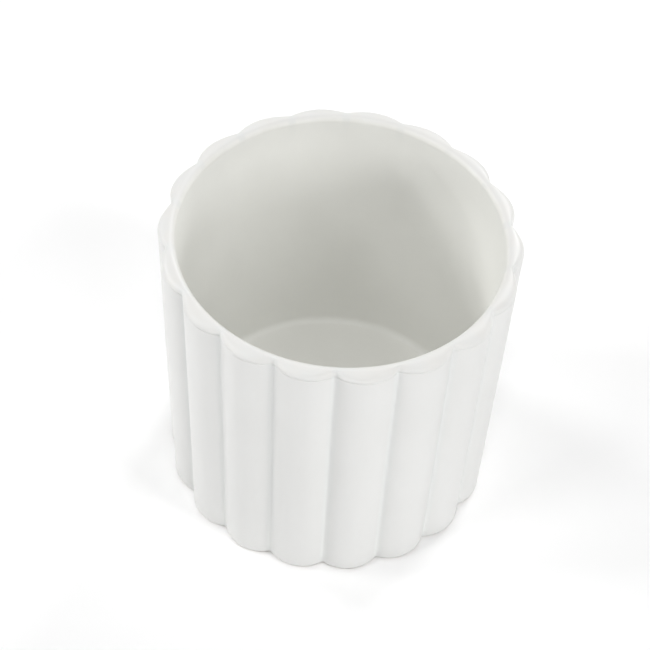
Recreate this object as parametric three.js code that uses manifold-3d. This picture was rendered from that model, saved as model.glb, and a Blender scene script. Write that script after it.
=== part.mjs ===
// Pen holder cup: a fluted, glazed stoneware cup that stands on four small silicone pads.
// Millimetres, +Z up. The origin is on the desk, under the middle of the cup.

import * as THREE from 'three';
import { mergeVertices } from 'three/addons/utils/BufferGeometryUtils.js';
import Module from 'manifold-3d';

// ---- Driving dimensions ----

const HEIGHT = 84.6;              // from the desk to the top of the lip

const FLUTES = 18;
const CREST_RADIUS = 45.0;        // at the lip, out to the crown of a flute
const GROOVE_RADIUS = 42.6;       // at the lip, in to the groove between two flutes
const FIRST_GROOVE_DEGREES = 11.0;
const FOOT_SCALE = 0.956;         // the outline shrinks evenly to this at the foot
const EDGE_ROUND = 1.2;           // round the outside of the lip and of the foot

const BORE_RADIUS = 40.5;         // just under the lip
const BORE_FOOT_RADIUS = 39.0;    // at the floor
const BORE_EDGE_ROUND = 1.0;      // where the lip turns down into the bore
const FLOOR_FILLET = 2.0;         // between the bore and the floor
const FLOOR_THICKNESS = 3.2;      // over the recess

const FOOT_RING_WIDTH = 3.6;      // flat ring round the recess, where it is narrowest
const RECESS_DEPTH = 1.2;
const RECESS_DRAFT = 0.6;         // how far the side of the recess leans in

const PAD_COUNT = 4;
const PAD_CIRCLE_RADIUS = 27.0;
const PAD_RADIUS = 5.0;
const PAD_HEIGHT = 1.3;
const PAD_EDGE_ROUND = 0.5;
const TAPE_RADIUS = 4.6;
const TAPE_THICKNESS = 0.3;

// ---- Mesh detail ----

const FLUTE_STEPS = 10;           // along the arc of one flute
const EDGE_STEPS = 3;             // round an outer edge
const BORE_STEPS = 108;           // around the bore and the recess
const FILLET_STEPS = 4;           // round the floor fillet and the inner edge of the lip
const PAD_STEPS = 32;             // around a pad

// ---- Heights that follow from them ----

const RECESS_Z = PAD_HEIGHT + TAPE_THICKNESS;
const FOOT_Z = RECESS_Z - RECESS_DEPTH;
const FLOOR_Z = RECESS_Z + FLOOR_THICKNESS;

const wasm = await Module();
wasm.setup();

// ---- Helpers ----

const radians = (degrees) => (degrees * Math.PI) / 180;

// A closed geometry as a solid that can be cut.
function toSolid(geometry) {
  const bare = geometry.clone();
  bare.deleteAttribute('normal');
  bare.deleteAttribute('uv');
  const merged = mergeVertices(bare, 1e-4);
  return new wasm.Manifold(new wasm.Mesh({
    numProp: 3,
    vertProperties: new Float32Array(merged.attributes.position.array),
    triVerts: new Uint32Array(merged.index.array),
  }));
}

function toGeometry(solid) {
  const cut = solid.getMesh();
  const geometry = new THREE.BufferGeometry();
  geometry.setAttribute('position', new THREE.BufferAttribute(cut.vertProperties, 3));
  geometry.setIndex(new THREE.BufferAttribute(cut.triVerts, 1));
  geometry.computeVertexNormals();
  return geometry;
}

// A profile of [radius, z] points, given from the bottom up and turned about +Z.
function turned(profile, steps) {
  const points = profile.map(([radius, z]) => new THREE.Vector2(radius, z));
  return new THREE.LatheGeometry(points, steps).rotateX(Math.PI / 2);
}

// [radius, z] points round an arc. The angles are in degrees from the outward radius.
function arcPoints([centreRadius, centreZ], arcRadius, from, to) {
  const points = [];
  for (let step = 0; step <= FILLET_STEPS; step += 1) {
    const angle = radians(from + ((to - from) * step) / FILLET_STEPS);
    points.push([
      centreRadius + arcRadius * Math.cos(angle),
      centreZ + arcRadius * Math.sin(angle),
    ]);
  }
  return points;
}

function mesh(name, geometry, material) {
  const part = new THREE.Mesh(geometry, material);
  part.name = name;
  return part;
}

// ---- Cup body ----

// The outline at the lip: equal convex arcs that meet in sharp grooves.
function fluteOutline() {
  const halfPitch = Math.PI / FLUTES;
  const arcCentre = (CREST_RADIUS ** 2 - GROOVE_RADIUS ** 2)
    / (2 * (CREST_RADIUS - GROOVE_RADIUS * Math.cos(halfPitch)));
  const arcRadius = CREST_RADIUS - arcCentre;
  const arcReach = Math.atan2(
    GROOVE_RADIUS * Math.sin(halfPitch),
    GROOVE_RADIUS * Math.cos(halfPitch) - arcCentre,
  );
  const points = [];
  for (let flute = 0; flute < FLUTES; flute += 1) {
    const crest = radians(FIRST_GROOVE_DEGREES) + (2 * flute + 1) * halfPitch;
    for (let step = 0; step < FLUTE_STEPS; step += 1) {
      const angle = crest - arcReach + (2 * arcReach * step) / FLUTE_STEPS;
      points.push(new THREE.Vector2(
        arcCentre * Math.cos(crest) + arcRadius * Math.cos(angle),
        arcCentre * Math.sin(crest) + arcRadius * Math.sin(angle),
      ));
    }
  }
  return new THREE.Shape(points);
}

// The whole fluted column with rounded ends, tapering in straight lines to the foot.
function flutedColumn() {
  const tall = HEIGHT - FOOT_Z;
  const column = new THREE.ExtrudeGeometry(fluteOutline(), {
    depth: tall - 2 * EDGE_ROUND,
    steps: 1,
    bevelSize: EDGE_ROUND,
    bevelThickness: EDGE_ROUND,
    bevelOffset: -EDGE_ROUND,
    bevelSegments: EDGE_STEPS,
  });
  column.translate(0, 0, EDGE_ROUND);
  const position = column.attributes.position;
  for (let i = 0; i < position.count; i += 1) {
    const scale = FOOT_SCALE + ((1 - FOOT_SCALE) * position.getZ(i)) / tall;
    position.setX(i, position.getX(i) * scale);
    position.setY(i, position.getY(i) * scale);
  }
  return column.translate(0, 0, FOOT_Z);
}

// What is taken out for the inside: a round tapered bore down to a filleted floor.
function boreCutter() {
  const clear = 5;
  const mouthRadius = BORE_RADIUS + BORE_EDGE_ROUND;
  return turned([
    [0, FLOOR_Z],
    ...arcPoints([BORE_FOOT_RADIUS - FLOOR_FILLET, FLOOR_Z + FLOOR_FILLET], FLOOR_FILLET, -90, 0),
    ...arcPoints([mouthRadius, HEIGHT - BORE_EDGE_ROUND], BORE_EDGE_ROUND, 180, 90),
    [mouthRadius, HEIGHT + clear],
    [0, HEIGHT + clear],
  ], BORE_STEPS);
}

// What is taken out underneath, which leaves the foot ring standing.
function recessCutter() {
  const clear = 5;
  const recessRadius = GROOVE_RADIUS * FOOT_SCALE - EDGE_ROUND - FOOT_RING_WIDTH;
  return turned([
    [0, FOOT_Z - clear],
    [recessRadius, FOOT_Z - clear],
    [recessRadius, FOOT_Z],
    [recessRadius - RECESS_DRAFT, RECESS_Z],
    [0, RECESS_Z],
  ], BORE_STEPS);
}

function cupBody() {
  const glaze = new THREE.MeshStandardMaterial({ color: 0xf1f0ec, roughness: 0.28, metalness: 0 });
  const body = toSolid(flutedColumn())
    .subtract(toSolid(boreCutter()))
    .subtract(toSolid(recessCutter()));
  return mesh('cup_body', toGeometry(body), glaze);
}

// ---- Feet ----

// A flat-faced pad with a rounded lower edge, on the desk at the origin.
function footPadGeometry() {
  return turned([
    [0, 0],
    ...arcPoints([PAD_RADIUS - PAD_EDGE_ROUND, PAD_EDGE_ROUND], PAD_EDGE_ROUND, -90, 0),
    [PAD_RADIUS, PAD_HEIGHT],
    [0, PAD_HEIGHT],
  ], PAD_STEPS);
}

// The disc of tape between a pad and the recess.
function tapeGeometry() {
  return turned([
    [0, PAD_HEIGHT],
    [TAPE_RADIUS, PAD_HEIGHT],
    [TAPE_RADIUS, RECESS_Z],
    [0, RECESS_Z],
  ], PAD_STEPS);
}

function feet() {
  const silicone = new THREE.MeshStandardMaterial({ color: 0xd6d8d7, roughness: 0.45, metalness: 0 });
  const tape = new THREE.MeshStandardMaterial({ color: 0xe6e3da, roughness: 0.8, metalness: 0 });
  const group = new THREE.Group();
  for (let pad = 0; pad < PAD_COUNT; pad += 1) {
    const angle = ((pad + 0.5) * 2 * Math.PI) / PAD_COUNT;
    const foot = new THREE.Group();
    foot.position.set(PAD_CIRCLE_RADIUS * Math.cos(angle), PAD_CIRCLE_RADIUS * Math.sin(angle), 0);
    foot.add(mesh(`foot_pad_${pad + 1}`, footPadGeometry(), silicone));
    foot.add(mesh(`pad_adhesive_${pad + 1}`, tapeGeometry(), tape));
    group.add(foot);
  }
  return group;
}

// ---- Assembly ----

const penHolderCup = new THREE.Group();
penHolderCup.add(cupBody(), feet());

export default penHolderCup;
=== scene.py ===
"""Pen holder cup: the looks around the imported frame.

The fluted stoneware body, its foot pads and their tape are remade here as fine meshes in the
places that the frame gives, with procedural glaze, bare clay, silicone and tape.
"""

import math

import bpy
import numpy as np
from mathutils import Matrix, Vector


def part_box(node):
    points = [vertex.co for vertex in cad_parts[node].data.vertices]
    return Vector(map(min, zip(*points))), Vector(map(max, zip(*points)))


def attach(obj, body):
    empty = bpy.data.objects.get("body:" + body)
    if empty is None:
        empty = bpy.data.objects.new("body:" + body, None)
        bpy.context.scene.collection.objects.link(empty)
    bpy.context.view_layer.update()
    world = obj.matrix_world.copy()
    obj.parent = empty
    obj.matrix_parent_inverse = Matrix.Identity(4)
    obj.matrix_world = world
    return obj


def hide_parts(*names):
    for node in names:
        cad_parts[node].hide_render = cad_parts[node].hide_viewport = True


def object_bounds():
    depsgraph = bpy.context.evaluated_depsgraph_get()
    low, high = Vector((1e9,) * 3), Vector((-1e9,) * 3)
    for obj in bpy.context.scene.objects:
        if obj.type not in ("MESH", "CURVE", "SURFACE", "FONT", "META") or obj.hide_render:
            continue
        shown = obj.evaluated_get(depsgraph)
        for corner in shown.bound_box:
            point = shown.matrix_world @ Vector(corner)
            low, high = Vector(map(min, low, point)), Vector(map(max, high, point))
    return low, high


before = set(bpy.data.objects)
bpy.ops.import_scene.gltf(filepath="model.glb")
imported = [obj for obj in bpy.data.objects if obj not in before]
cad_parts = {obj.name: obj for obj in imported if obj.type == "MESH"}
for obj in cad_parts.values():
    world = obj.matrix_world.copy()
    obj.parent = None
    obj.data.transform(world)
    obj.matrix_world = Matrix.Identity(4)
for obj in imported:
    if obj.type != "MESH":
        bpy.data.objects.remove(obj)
CAD_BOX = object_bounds()

MM = 0.001

# ---- Places from the frame ----

BODY_LOW, BODY_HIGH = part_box("cup_body")
FOOT_Z = BODY_LOW.z
LIP_Z = BODY_HIGH.z
CREST_RADIUS = BODY_HIGH.x
DESK_Z = CAD_BOX[0].z
RECESS_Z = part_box("pad_adhesive_1")[1].z

# ---- Shape of the cup, as in the CAD ----

FLUTES = 18
GROOVE_RADIUS = 42.6 * MM
FIRST_GROOVE = math.radians(11.0)
FOOT_SCALE = 0.956
BORE_RADIUS = 40.5 * MM
BORE_FOOT_RADIUS = 39.0 * MM
FLOOR_Z = RECESS_Z + 3.2 * MM
FLOOR_FILLET = 2.0 * MM
EDGE_ROUND = 1.2 * MM
FOOT_RING_WIDTH = 3.6 * MM
RECESS_DRAFT = 0.6 * MM
RING_RADIUS = GROOVE_RADIUS * FOOT_SCALE - EDGE_ROUND - FOOT_RING_WIDTH   # inside of the foot ring

# ---- Finer shape that only the visible mesh has ----

GROOVE_ROUND = 0.85 * MM       # glaze pooled in the bottom of a groove
FOOT_ROUND = 0.8 * MM          # round the outside of the foot
LIP_DROP = 1.9 * MM            # the domed lip rolls down this far to its fluted outer edge
LIP_INNER_ROUND = 1.7 * MM     # and rolls down into the bore with this radius
LIP_GROOVE_RADIUS = 43.2 * MM  # over the lip the grooves are shallower
LIP_GROOVE_ROUND = 1.7 * MM    # and rounder,
LIP_SOFTEST = math.radians(140)    # most of all in this direction, and not at all opposite to it
CREASE_DEPTH = 0.24 * MM       # fine crease that runs round under the lip
CREASE_WIDTH = 0.22 * MM
LIP_FALL = 1.6 * MM            # the lip is this much lower on the +X side
WALL_WAVE = 0.10 * MM          # slow unevenness of the wall, invented

FLUTE_STEPS = 18               # mesh rows along the arc of one flute
GROOVE_STEPS = 5               # and along the bottom of a groove

# ---- Foot pads, as in the CAD but for the lean of their sides and the soft edges ----

PAD_COUNT = 4
PAD_EDGE_ROUND = 0.5 * MM
PAD_DRAFT = 0.25 * MM          # the side of a moulded pad leans in this much towards the desk
PAD_TOP_ROUND = 0.2 * MM
TAPE_EDGE_ROUND = 0.07 * MM
PAD_STEPS = 96                 # around a pad

# ---- Glaze, clay and pad colours ----
# The glaze colours of the bore are painted light: paler and a little yellower than outside, only to make
# the bore bright enough in this light.

GLAZE_OUTSIDE = (0.729, 0.729, 0.715, 1.0)
GLAZE_OUTSIDE_PALE = (0.741, 0.741, 0.728, 1.0)
GLAZE_BORE_PAINTED_LIGHT = (0.845, 0.845, 0.813, 1.0)
GLAZE_BORE_PAINTED_LIGHT_PALE = (0.857, 0.857, 0.826, 1.0)
GLAZE_POOLED = (0.72, 0.735, 0.725, 1.0)
GLAZE_THIN = (0.75, 0.735, 0.70, 1.0)
BARE_CLAY = (0.62, 0.59, 0.54, 1.0)
BARE_CLAY_PALE = (0.70, 0.675, 0.63, 1.0)
SILICONE = (0.70, 0.715, 0.71, 1.0)
SILICONE_DUSTY = (0.64, 0.635, 0.61, 1.0)
TAPE = (0.84, 0.83, 0.78, 1.0)
TAPE_YELLOWED = (0.78, 0.755, 0.67, 1.0)


# ---- Camera ----

def make_camera():
    """A long lens close to the cup, looking down at it from the front."""
    elevation = math.radians(50.72)
    pan = math.radians(0.31)
    tilt = math.radians(0.47)
    roll = math.radians(3.80)
    distance = 508.1 * MM
    aim = Vector((0.0, 0.0, (FOOT_Z + LIP_Z) / 2))

    data = bpy.data.cameras.new("camera")
    data.sensor_width = 36.0
    data.lens = 108.37
    data.clip_start = 10 * MM
    data.clip_end = 20.0
    camera = bpy.data.objects.new("camera", data)
    bpy.context.scene.collection.objects.link(camera)
    bpy.context.scene.camera = camera

    turn = (
        Matrix.Rotation(math.pi / 2 - elevation, 4, "X")
        @ Matrix.Rotation(pan, 4, "Y")
        @ Matrix.Rotation(tilt, 4, "X")
        @ Matrix.Rotation(roll, 4, "Z")
    )
    back = Vector((0.0, -math.cos(elevation), math.sin(elevation)))
    camera.matrix_world = Matrix.Translation(aim + back * distance) @ turn


# ---- Studio ----

def add_softbox(name, azimuth, elevation, power, size=0.7, distance=3.0):
    """A square area light that faces the cup. Azimuth 0 is behind the camera, 90 is on the right."""
    data = bpy.data.lights.new(name, "AREA")
    data.shape = "SQUARE"
    data.size = size
    data.energy = power
    light = bpy.data.objects.new(name, data)
    bpy.context.scene.collection.objects.link(light)
    around, up = math.radians(azimuth), math.radians(elevation)
    back = Vector((
        math.sin(around) * math.cos(up),
        -math.cos(around) * math.cos(up),
        math.sin(up),
    ))
    aim = Vector((0.0, 0.0, LIP_Z / 2))
    light.location = aim + back * distance
    light.rotation_mode = "QUATERNION"
    light.rotation_quaternion = back.to_track_quat("Z", "Y")
    light.visible_camera = False
    return light


def make_world():
    """A dim even fill from all round, and a brighter backdrop that only the camera sees."""
    world = bpy.data.worlds.new("studio")
    world.use_nodes = True
    tree = world.node_tree
    fill = tree.nodes["Background"]
    fill.inputs["Color"].default_value = (1.0, 1.0, 1.0, 1.0)
    fill.inputs["Strength"].default_value = 0.15
    backdrop = tree.nodes.new("ShaderNodeBackground")
    backdrop.inputs["Color"].default_value = (1.0, 1.0, 1.0, 1.0)
    backdrop.inputs["Strength"].default_value = 0.95
    rays = tree.nodes.new("ShaderNodeLightPath")
    choose = tree.nodes.new("ShaderNodeMixShader")
    tree.links.new(rays.outputs["Is Camera Ray"], choose.inputs["Fac"])
    tree.links.new(fill.outputs["Background"], choose.inputs[1])
    tree.links.new(backdrop.outputs["Background"], choose.inputs[2])
    tree.links.new(choose.outputs["Shader"], tree.nodes["World Output"].inputs["Surface"])
    bpy.context.scene.world = world


def make_studio():
    """Softboxes all round the cup, with powers fitted and then rounded or adjusted."""
    make_world()
    add_softbox("overhead", azimuth=0, elevation=66, power=18.8)
    add_softbox("front_low", azimuth=30, elevation=14, power=18.8)
    add_softbox("right_low", azimuth=60, elevation=29, power=11)
    add_softbox("right_high", azimuth=60, elevation=45, power=16.5)
    add_softbox("left_high", azimuth=-60, elevation=45, power=14.3)
    add_softbox("left_low", azimuth=-90, elevation=29, power=24.5)
    add_softbox("back_left", azimuth=-120, elevation=29, power=23.6)
    add_softbox("back_right", azimuth=150, elevation=29, power=44, size=1.2)
    bpy.context.scene.view_settings.view_transform = "Standard"


def make_floor():
    """A wide pale sweep that the cup stands on."""
    half = 2.0
    mesh = bpy.data.meshes.new("floor")
    corners = [(-half, -half), (half, -half), (half, half), (-half, half)]
    mesh.from_pydata([(x, y, DESK_Z) for x, y in corners], [], [(0, 1, 2, 3)])
    floor = bpy.data.objects.new("floor", mesh)
    bpy.context.scene.collection.objects.link(floor)
    material, shader, _ = new_material("floor_paper")
    shader.inputs["Base Color"].default_value = (0.95, 0.95, 0.95, 1.0)
    shader.inputs["Roughness"].default_value = 0.9
    shader.inputs["Specular IOR Level"].default_value = 0.1
    mesh.materials.append(material)


# ---- Material nodes ----

def new_material(name):
    """A node material: (material, its Principled shader, its node tree)."""
    material = bpy.data.materials.new(name)
    material.use_nodes = True
    tree = material.node_tree
    return material, tree.nodes["Principled BSDF"], tree


def add_node(tree, kind, sockets, **settings):
    """A shader node. A socket takes a number, a colour or the output that feeds it."""
    node = tree.nodes.new("ShaderNode" + kind)
    for name, value in settings.items():
        setattr(node, name, value)
    for key, value in sockets.items():
        if isinstance(value, bpy.types.NodeSocket):
            tree.links.new(value, node.inputs[key])
        else:
            node.inputs[key].default_value = value
    return node


def calculate(tree, operation, a, b=0.0):
    return add_node(tree, "Math", {0: a, 1: b}, operation=operation).outputs[0]


def fade(tree, value, start, end):
    """0 up to start and 1 from end on, smooth between them. Start may be the greater."""
    sockets = {"Value": value, "From Min": start, "From Max": end}
    return add_node(tree, "MapRange", sockets, interpolation_type="SMOOTHSTEP").outputs["Result"]


def spread(tree, value, low, high):
    """A value from 0 to 1 stretched to run from low to high."""
    return add_node(tree, "MapRange", {"Value": value, "To Min": low, "To Max": high}).outputs["Result"]


def blend(tree, amount, first, second):
    """A colour that goes from first to second as amount goes from 0 to 1."""
    return add_node(tree, "Mix", {0: amount, 6: first, 7: second}, data_type="RGBA").outputs[2]


def object_place(tree):
    return add_node(tree, "TexCoord", {}).outputs["Object"]


def noise(tree, place, size, detail=2.0):
    """Soft noise from 0 to 1, in lumps about size metres across."""
    sockets = {"Vector": place, "Scale": 1 / size, "Detail": detail}
    return add_node(tree, "TexNoise", sockets).outputs[0]


def clouds(tree, place, size):
    """Noise with more contrast, which fills the range from 0 to 1."""
    return fade(tree, noise(tree, place, size, 3.0), 0.32, 0.68)


def pits(tree, place, spacing, radius):
    """1 in the middle of small round pits, and 0 between them. Only some cells have a pit."""
    cells = add_node(tree, "TexVoronoi", {"Vector": place, "Scale": 1 / spacing})
    near = fade(tree, cells.outputs["Distance"], radius / spacing, 0.0)
    chosen = add_node(tree, "SeparateColor", {"Color": cells.outputs["Color"]}).outputs["Red"]
    return calculate(tree, "MULTIPLY", near, calculate(tree, "GREATER_THAN", chosen, 0.8))


def relief(tree, shader, layers):
    """Bumps on the surface: (height from 0 to 1, depth in metres), one on top of another."""
    normal = None
    for height, depth in layers:
        sockets = {"Height": height, "Distance": depth}
        if normal is not None:
            sockets["Normal"] = normal
        normal = add_node(tree, "Bump", sockets).outputs["Normal"]
    tree.links.new(normal, shader.inputs["Normal"])


# ---- Materials ----

def glaze_and_painted_light_zones(tree, place):
    """Masks from 0 to 1: the bore, whose paler colour is painted light; glaze pooled in the grooves; the
    lip; the bare foot.
    """
    axes = add_node(tree, "SeparateXYZ", {"Vector": place})
    x, y, z = axes.outputs
    radius = calculate(tree, "SQRT", calculate(
        tree, "ADD", calculate(tree, "MULTIPLY", x, x), calculate(tree, "MULTIPLY", y, y),
    ))
    above_floor = fade(tree, z, RECESS_Z, FLOOR_Z)
    within_bore = fade(tree, radius, BORE_RADIUS + 1.0 * MM, BORE_RADIUS)
    # Painted light: the bore and its floor get a paler, yellower glaze colour to brighten them.
    bore_painted_light = calculate(tree, "MULTIPLY", above_floor, within_bore)

    turn = calculate(tree, "SUBTRACT", calculate(tree, "ARCTAN2", y, x), FIRST_GROOVE)
    wave = calculate(tree, "COSINE", calculate(tree, "MULTIPLY", turn, float(FLUTES)))
    outside = fade(tree, radius, BORE_RADIUS - 0.2 * MM, BORE_RADIUS + 0.3 * MM)
    pooled = calculate(tree, "MULTIPLY", fade(tree, wave, 0.8, 1.0), outside)

    fallen = calculate(tree, "MULTIPLY", x, LIP_FALL / (2 * CREST_RADIUS))
    height = calculate(tree, "ADD", z, fallen)
    lip = fade(tree, height, LIP_Z - LIP_FALL / 2 - 2.6 * MM, LIP_Z - LIP_FALL / 2 - 0.8 * MM)

    ragged = spread(tree, noise(tree, place, 2.5 * MM), -0.25 * MM, 0.25 * MM)
    wiped_height = calculate(tree, "ADD", z, ragged)
    near_desk = fade(tree, wiped_height, FOOT_Z + 0.34 * MM, FOOT_Z + 0.26 * MM)
    ring_only = fade(tree, radius, RING_RADIUS - 0.2 * MM, RING_RADIUS)
    bare = calculate(tree, "MULTIPLY", near_desk, ring_only)
    return bore_painted_light, pooled, lip, bare


def glaze_material():
    """White satin glaze: cloudy in tone, thicker in the grooves, thin on the lip, wiped off the foot,
    and painted paler and yellower in the bore as painted light.
    """
    material, shader, tree = new_material("white_stoneware_glaze")
    place = object_place(tree)
    bore_painted_light, pooled, lip, bare = glaze_and_painted_light_zones(tree, place)

    cloud = clouds(tree, place, 18 * MM)
    grain = noise(tree, place, 0.35 * MM)
    # The bore's paler, yellower glaze colour is painted light.
    colour = blend(
        tree, bore_painted_light,
        blend(tree, cloud, GLAZE_OUTSIDE, GLAZE_OUTSIDE_PALE),
        blend(tree, cloud, GLAZE_BORE_PAINTED_LIGHT, GLAZE_BORE_PAINTED_LIGHT_PALE),
    )
    colour = blend(tree, calculate(tree, "MULTIPLY", pooled, 0.5), colour, GLAZE_POOLED)
    mottle = calculate(tree, "MULTIPLY", lip, clouds(tree, place, 6 * MM))
    colour = blend(tree, calculate(tree, "MULTIPLY", mottle, 0.4), colour, GLAZE_THIN)
    clay = blend(tree, grain, BARE_CLAY, BARE_CLAY_PALE)
    tree.links.new(blend(tree, bare, colour, clay), shader.inputs["Base Color"])

    satin = spread(tree, clouds(tree, place, 9 * MM), 0.41, 0.49)
    roughness = add_node(tree, "Mix", {0: bare, 2: satin, 3: 0.9}).outputs[0]
    tree.links.new(roughness, shader.inputs["Roughness"])

    clay_grain = calculate(tree, "MULTIPLY", bare, grain)
    relief(tree, shader, [
        (noise(tree, place, 9 * MM), 0.05 * MM),
        (noise(tree, place, 2.2 * MM), 0.018 * MM),
        (pits(tree, place, 5 * MM, 0.16 * MM), -0.06 * MM),
        (clay_grain, 0.08 * MM),
    ])
    return material


def silicone_material():
    """Milky moulded silicone that has picked up a little dust."""
    material, shader, tree = new_material("silicone_rubber")
    place = object_place(tree)
    dust = clouds(tree, place, 1.6 * MM)
    colour = blend(tree, calculate(tree, "MULTIPLY", dust, 0.5), SILICONE, SILICONE_DUSTY)
    tree.links.new(colour, shader.inputs["Base Color"])
    tree.links.new(spread(tree, dust, 0.38, 0.62), shader.inputs["Roughness"])
    shader.inputs["Subsurface Weight"].default_value = 0.35
    shader.inputs["Subsurface Radius"].default_value = (1.0, 1.0, 1.0)
    shader.inputs["Subsurface Scale"].default_value = 1.5 * MM
    shader.inputs["IOR"].default_value = 1.41
    relief(tree, shader, [
        (noise(tree, place, 1.2 * MM), 0.012 * MM),
        (noise(tree, place, 0.12 * MM), 0.004 * MM),
    ])
    return material


def tape_material():
    """Thin foam tape: fine closed cells, a little yellowed in patches."""
    material, shader, tree = new_material("foam_tape")
    place = object_place(tree)
    patches = clouds(tree, place, 2.5 * MM)
    tree.links.new(blend(tree, patches, TAPE, TAPE_YELLOWED), shader.inputs["Base Color"])
    tree.links.new(spread(tree, noise(tree, place, 0.5 * MM), 0.75, 0.9), shader.inputs["Roughness"])
    cells = add_node(tree, "TexVoronoi", {"Vector": place, "Scale": 1 / (0.15 * MM)})
    relief(tree, shader, [(cells.outputs["Distance"], 0.03 * MM)])
    return material


# ---- Mesh building ----

def link_mesh(name, vertices, faces, material):
    """A smooth-shaded mesh object with one material."""
    mesh = bpy.data.meshes.new(name)
    mesh.from_pydata([tuple(v) for v in vertices], [], faces)
    mesh.polygons.foreach_set("use_smooth", [True] * len(mesh.polygons))
    mesh.materials.append(material)
    mesh.validate()
    piece = bpy.data.objects.new(name, mesh)
    bpy.context.scene.collection.objects.link(piece)
    return piece


def closed_rings(rings):
    """Vertices and faces of a closed skin through rings of points, with a point at each end."""
    rings = np.array(rings)
    count, around = rings.shape[:2]
    vertices = [rings[0].mean(axis=0), *rings.reshape(-1, 3), rings[-1].mean(axis=0)]
    last = len(vertices) - 1
    faces = []
    for i in range(around):
        j = (i + 1) % around
        faces.append((0, 1 + j, 1 + i))
        for row in range(count - 1):
            low, high = 1 + row * around, 1 + (row + 1) * around
            faces.append((low + i, low + j, high + j, high + i))
        top = 1 + (count - 1) * around
        faces.append((last, top + i, top + j))
    return vertices, faces


def flute_outline(groove_radius, groove_round):
    """Points and outward normals round the lip: convex arcs that meet in small round grooves."""
    half_pitch = math.pi / FLUTES
    groove_centre = groove_radius + groove_round
    along, across = groove_centre * math.cos(half_pitch), groove_centre * math.sin(half_pitch)
    arc_radius = (
        (groove_centre ** 2 - 2 * CREST_RADIUS * along + CREST_RADIUS ** 2 - groove_round ** 2)
        / (2 * (CREST_RADIUS + groove_round - along))
    )
    arc_centre = CREST_RADIUS - arc_radius
    reach = math.atan2(across, along - arc_centre)

    # One flute with its crest along +X, then the groove that follows it.
    sweep = reach * np.sin(np.linspace(-0.5, 0.5, FLUTE_STEPS) * math.pi)
    flute = np.stack([arc_centre + arc_radius * np.cos(sweep), arc_radius * np.sin(sweep)], axis=1)
    flute_normal = np.stack([np.cos(sweep), np.sin(sweep)], axis=1)
    end = 2 * half_pitch - reach
    turn = np.linspace(reach, end, GROOVE_STEPS + 2)[1:-1] + math.pi
    groove = np.array([along, across]) + groove_round * np.stack([np.cos(turn), np.sin(turn)], axis=1)
    groove_normal = -np.stack([np.cos(turn), np.sin(turn)], axis=1)
    pitch_points = np.concatenate([flute, groove])
    pitch_normals = np.concatenate([flute_normal, groove_normal])

    points, normals = [], []
    for k in range(FLUTES):
        angle = FIRST_GROOVE + (2 * k + 1) * half_pitch
        spin = np.array([[math.cos(angle), math.sin(angle)], [-math.sin(angle), math.cos(angle)]])
        points.append(pitch_points @ spin)
        normals.append(pitch_normals @ spin)
    return np.concatenate(points), np.concatenate(normals)


# ---- The cup ----

def outline_at(outline, height, inset=0.0):
    """The fluted outline at one height, drawn in by an inset along its own normals."""
    points, normals = outline
    fraction = (height - FOOT_Z) / (LIP_Z - FOOT_Z)
    scale = FOOT_SCALE + (1 - FOOT_SCALE) * fraction
    flat = points * scale - normals * inset
    return np.column_stack([flat, np.full(len(flat), height)])


def circle_at(outline, height, radius):
    """A round ring at one height, with its points at the same angles as the fluted outline."""
    points = outline[0]
    flat = points / np.linalg.norm(points, axis=1)[:, None] * radius
    return np.column_stack([flat, np.full(len(flat), height)])


def bore_radius_at(height):
    fraction = (height - FLOOR_Z) / (LIP_Z - FLOOR_Z)
    return BORE_FOOT_RADIUS + (BORE_RADIUS - BORE_FOOT_RADIUS) * fraction


def underside_rings(outline):
    """From the middle of the recess out over its side and across the flat foot ring."""
    ceiling_radius = RING_RADIUS - RECESS_DRAFT
    rings = [circle_at(outline, RECESS_Z, r) for r in np.linspace(1 * MM, ceiling_radius, 9)]
    for part in np.linspace(0, 1, 6)[1:]:
        ease = part * part * (3 - 2 * part)
        rings.append(circle_at(
            outline, RECESS_Z + (FOOT_Z - RECESS_Z) * ease, ceiling_radius + RECESS_DRAFT * part,
        ))
    inner = rings[-1]
    outer = outline_at(outline, FOOT_Z, FOOT_ROUND)
    rings += [inner + (outer - inner) * part for part in np.linspace(0, 1, 6)[1:]]
    return rings


def outside_rings(outline):
    """Up the rounded foot and the fluted wall, and through the fine crease under the lip."""
    rings = []
    for angle in np.radians(np.linspace(-90, 0, 7)[1:]):
        height = FOOT_Z + FOOT_ROUND * (1 + math.sin(angle))
        rings.append(outline_at(outline, height, FOOT_ROUND * (1 - math.cos(angle))))
    crease_top = LIP_Z - LIP_DROP
    crease_z = crease_top - 1.2 * CREASE_WIDTH
    crease_foot = crease_z - 2.5 * CREASE_WIDTH
    wall = np.linspace(FOOT_Z + FOOT_ROUND, crease_foot, 34)[1:-1]
    crease = np.linspace(crease_foot, crease_top, 12)[:-1]
    for height in np.concatenate([wall, crease]):
        inset = CREASE_DEPTH * math.exp(-(((height - crease_z) / CREASE_WIDTH) ** 2))
        rings.append(outline_at(outline, height, inset))
    return rings


def lip_rings(outline, soft_outline):
    """Over the domed lip, from its fluted outer edge to where it has turned down into the bore."""
    sharp = outline_at(outline, LIP_Z)
    soft = outline_at(soft_outline, LIP_Z)
    around = np.arctan2(sharp[:, 1], sharp[:, 0])
    softness = np.clip(0.5 + np.cos(around - LIP_SOFTEST), 0, 1)[:, None]
    top = circle_at(outline, LIP_Z, BORE_RADIUS + LIP_INNER_ROUND)
    rings = []
    for angle in np.radians(np.linspace(0, 90, 20)):
        outer = sharp + (soft - sharp) * softness * math.sin(min(2 * angle, math.pi / 2))
        ring = top + (outer - top) * math.cos(angle)
        ring[:, 2] = LIP_Z - LIP_DROP * (1 - math.sin(angle))
        rings.append(ring)
    for angle in np.radians(np.linspace(90, 180, 10)[1:]):
        radius = BORE_RADIUS + LIP_INNER_ROUND * (1 + math.cos(angle))
        rings.append(circle_at(outline, LIP_Z - LIP_INNER_ROUND * (1 - math.sin(angle)), radius))
    return rings


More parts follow.
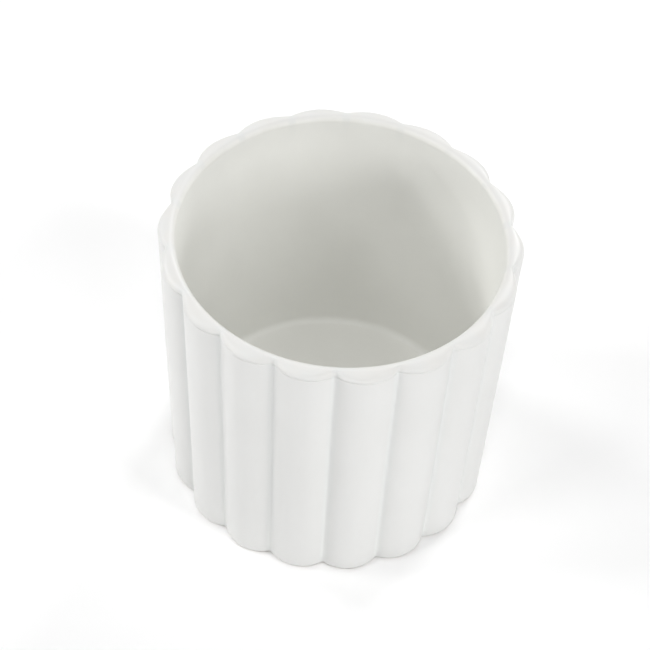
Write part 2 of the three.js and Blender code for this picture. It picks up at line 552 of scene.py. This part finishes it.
def inside_rings(outline):
    """Down the bore, round the fillet and over the floor."""
    rings = []
    for height in np.linspace(LIP_Z - LIP_INNER_ROUND, FLOOR_Z + FLOOR_FILLET, 26)[1:-1]:
        rings.append(circle_at(outline, height, bore_radius_at(height)))
    fillet_radius = bore_radius_at(FLOOR_Z + FLOOR_FILLET) - FLOOR_FILLET
    for angle in np.radians(np.linspace(0, -90, 9)):
        rings.append(circle_at(
            outline,
            FLOOR_Z + FLOOR_FILLET * (1 + math.sin(angle)),
            fillet_radius + FLOOR_FILLET * math.cos(angle),
        ))
    rings += [circle_at(outline, FLOOR_Z, r) for r in np.linspace(fillet_radius, 1 * MM, 12)[1:]]
    return rings


def uneven(vertices):
    """The cup with its lip a little lower on one side, and a slow soft wave in its wall."""
    vertices = np.array(vertices)
    x, y, z = vertices.T
    rise = np.clip((z - FOOT_Z) / (LIP_Z - FOOT_Z), 0, 1)
    angle = np.arctan2(y, x)
    broad = np.sin(2 * angle + 0.7 + 1.8 * rise)
    narrow = np.sin(3 * angle + 2.1 - 2.6 * rise)
    wave = 0.5 + 0.25 * broad + 0.25 * narrow
    shrink = 1 - WALL_WAVE / CREST_RADIUS * wave * rise
    fall = LIP_FALL * 0.5 * (1 + x / CREST_RADIUS) * rise
    return np.column_stack([x * shrink, y * shrink, z - fall])


def make_cup():
    outline = flute_outline(GROOVE_RADIUS, GROOVE_ROUND)
    soft_outline = flute_outline(LIP_GROOVE_RADIUS, LIP_GROOVE_ROUND)
    rings = underside_rings(outline) + outside_rings(outline)
    rings += lip_rings(outline, soft_outline) + inside_rings(outline)
    vertices, faces = closed_rings(rings)
    cup = link_mesh("cup_glazed_body", uneven(vertices), faces, glaze_material())
    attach(cup, "root")
    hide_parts("cup_body")
    return cup


# ---- Foot pads ----

def turned_piece(name, centre, profile, material, node):
    """A closed turned piece about an upright axis, which stands for a node of the CAD."""
    angles = np.linspace(0, 2 * math.pi, PAD_STEPS, endpoint=False)
    rings = []
    for radius, height in profile:
        ring = np.column_stack([
            centre.x + radius * np.cos(angles),
            centre.y + radius * np.sin(angles),
            np.full(PAD_STEPS, height),
        ])
        rings.append(ring)
    vertices, faces = closed_rings(rings)
    piece = link_mesh(name, vertices, faces, material)
    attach(piece, "root")
    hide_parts(node)
    return piece


def arc(radius, height, round_radius, start, end, steps=6):
    """Profile points round an arc. The angles are in degrees up from the outward radius."""
    angles = np.radians(np.linspace(start, end, steps + 1))
    return [(radius + round_radius * math.cos(a), height + round_radius * math.sin(a)) for a in angles]


def make_pad(number, silicone):
    low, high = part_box(f"foot_pad_{number}")
    radius = (high.x - low.x) / 2
    face_radius = radius - PAD_DRAFT - PAD_EDGE_ROUND
    profile = [(r, low.z) for r in np.linspace(0.4 * MM, face_radius, 5)[:-1]]
    profile += arc(face_radius, low.z + PAD_EDGE_ROUND, PAD_EDGE_ROUND, -90, 0)
    profile += arc(radius - PAD_TOP_ROUND, high.z - PAD_TOP_ROUND, PAD_TOP_ROUND, 0, 90)
    profile += [(r, high.z) for r in np.linspace(radius - PAD_TOP_ROUND, 0.4 * MM, 5)[1:]]
    name = f"silicone_pad_{number}"
    return turned_piece(name, (low + high) / 2, profile, silicone, f"foot_pad_{number}")


def make_tape(number, foam):
    low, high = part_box(f"pad_adhesive_{number}")
    edge = (high.x - low.x) / 2 - TAPE_EDGE_ROUND
    profile = [(r, low.z) for r in np.linspace(0.4 * MM, edge, 5)[:-1]]
    profile += arc(edge, low.z + TAPE_EDGE_ROUND, TAPE_EDGE_ROUND, -90, 0, steps=3)
    profile += arc(edge, high.z - TAPE_EDGE_ROUND, TAPE_EDGE_ROUND, 0, 90, steps=3)
    profile += [(r, high.z) for r in np.linspace(edge, 0.4 * MM, 5)[1:]]
    name = f"tape_disc_{number}"
    return turned_piece(name, (low + high) / 2, profile, foam, f"pad_adhesive_{number}")


def make_feet():
    silicone = silicone_material()
    foam = tape_material()
    for number in range(1, PAD_COUNT + 1):
        make_pad(number, silicone)
        make_tape(number, foam)


make_camera()
make_studio()
make_floor()
make_cup()
make_feet()
